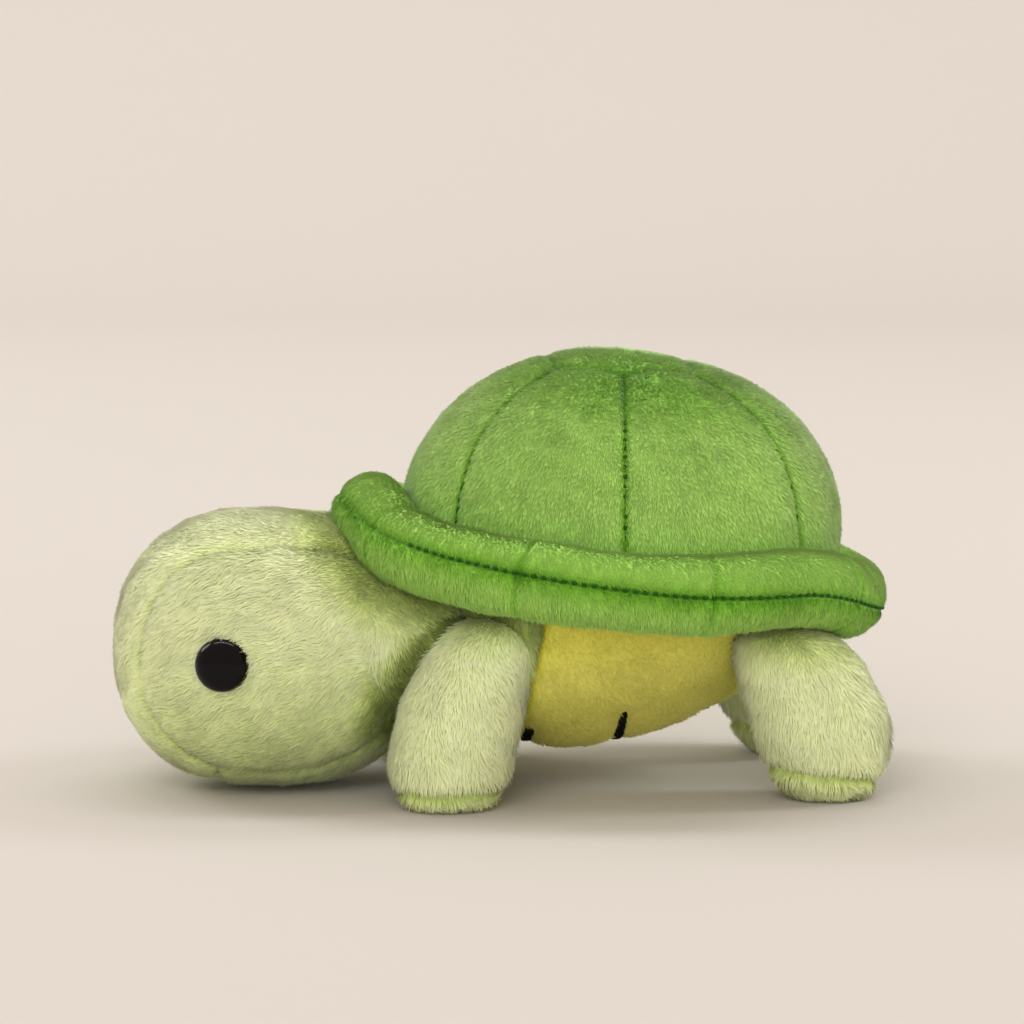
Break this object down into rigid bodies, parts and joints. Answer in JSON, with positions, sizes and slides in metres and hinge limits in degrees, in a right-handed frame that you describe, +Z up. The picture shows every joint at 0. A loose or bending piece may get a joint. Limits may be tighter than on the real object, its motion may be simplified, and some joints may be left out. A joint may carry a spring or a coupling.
{
  "type": "plush turtle",
  "caption": "Small stuffed plush turtle on four short legs, with a rounded head, a domed sewn shell over a stuffed rim, a yellow belly and glossy domed eyes.",
  "frame": {"origin": "on the table, in the middle of the toy's outline seen from above", "axes": "+Z up, the head looks along -Y, the toy's own left is +X"},
  "size_m": [0.131, 0.2062, 0.1151],
  "materials": {
    "shell_cloth": "short combed pile",
    "rim_cloth": "pile, longer underneath",
    "skin_cloth": "long pale green pile",
    "belly_cloth": "yellow pile",
    "line_cloth": "black satin stitch",
    "lining": "plain knit",
    "stuffing": "loose fibre",
    "eyes": "polished",
    "washers": "moulded"
  },
  "bodies": {
    "trunk": {"shell_gore_1": "shell_cloth", "shell_gore_2": "shell_cloth", "shell_gore_3": "shell_cloth", "shell_gore_4": "shell_cloth", "shell_gore_5": "shell_cloth", "shell_gore_6": "shell_cloth", "shell_top_panel": "shell_cloth", "shell_stuffing": "stuffing", "shell_lining": "lining", "rim_upper_front": "rim_cloth", "rim_upper_left_1": "rim_cloth", "rim_upper_right_1": "rim_cloth", "rim_upper_left_2": "rim_cloth", "rim_upper_right_2": "rim_cloth", "rim_upper_left_3": "rim_cloth", "rim_upper_right_3": "rim_cloth", "rim_upper_left_4": "rim_cloth", "rim_upper_right_4": "rim_cloth", "rim_lower_front": "rim_cloth", "rim_lower_left_1": "rim_cloth", "rim_lower_right_1": "rim_cloth", "rim_lower_left_2": "rim_cloth", "rim_lower_right_2": "rim_cloth", "rim_lower_left_3": "rim_cloth", "rim_lower_right_3": "rim_cloth", "rim_lower_left_4": "rim_cloth", "rim_lower_right_4": "rim_cloth", "rim_stuffing": "stuffing", "belly_panel": "belly_cloth", "chest_panel": "skin_cloth", "belly_lines": "line_cloth", "body_stuffing": "stuffing"},
    "neck": {"neck_panel": "skin_cloth", "neck_stuffing": "stuffing"},
    "head": {"cheek_left": "skin_cloth", "eye_left": "eyes", "eye_washer_left": "washers", "cheek_right": "skin_cloth", "eye_right": "eyes", "eye_washer_right": "washers", "crown_gusset": "skin_cloth", "chin_gusset": "skin_cloth", "head_stuffing": "stuffing"},
    "front_leg_left": {"front_leg_left_outer_panel": "skin_cloth", "front_leg_left_inner_panel": "skin_cloth", "front_leg_left_sole": "skin_cloth", "front_leg_left_stuffing": "stuffing"},
    "front_leg_right": {"front_leg_right_outer_panel": "skin_cloth", "front_leg_right_inner_panel": "skin_cloth", "front_leg_right_sole": "skin_cloth", "front_leg_right_stuffing": "stuffing"},
    "rear_leg_left": {"rear_leg_left_outer_panel": "skin_cloth", "rear_leg_left_inner_panel": "skin_cloth", "rear_leg_left_sole": "skin_cloth", "rear_leg_left_stuffing": "stuffing"},
    "rear_leg_right": {"rear_leg_right_outer_panel": "skin_cloth", "rear_leg_right_inner_panel": "skin_cloth", "rear_leg_right_sole": "skin_cloth", "rear_leg_right_stuffing": "stuffing"}
  },
  "joints": [
    {"name": "neck_turn", "type": "hinge", "parent": "trunk", "child": "neck", "pos_m": [0, -0.02157, 0.041], "axis": [0, 0, 1], "range_deg": [-10, 10], "stiffness_Nm_per_rad": 0.5},
    {"name": "head_nod", "type": "hinge", "parent": "neck", "child": "head", "pos_m": [0, -0.02157, 0.041], "axis": [-1, 0, 0], "range_deg": [0, 6], "stiffness_Nm_per_rad": 0.5},
    {"name": "front_leg_left_swing", "type": "hinge", "parent": "trunk", "child": "front_leg_left", "pos_m": [0, -0.00757, 0.033], "axis": [1, 0, 0], "range_deg": [-6, 12], "stiffness_Nm_per_rad": 0.6},
    {"name": "front_leg_right_swing", "type": "hinge", "parent": "trunk", "child": "front_leg_right", "pos_m": [0, -0.00757, 0.033], "axis": [1, 0, 0], "range_deg": [-6, 12], "stiffness_Nm_per_rad": 0.6},
    {"name": "rear_leg_left_swing", "type": "hinge", "parent": "trunk", "child": "rear_leg_left", "pos_m": [0, 0.07043, 0.036], "axis": [1, 0, 0], "range_deg": [-12, 6], "stiffness_Nm_per_rad": 0.6},
    {"name": "rear_leg_right_swing", "type": "hinge", "parent": "trunk", "child": "rear_leg_right", "pos_m": [0, 0.07043, 0.036], "axis": [1, 0, 0], "range_deg": [-12, 6], "stiffness_Nm_per_rad": 0.6}
  ]
}
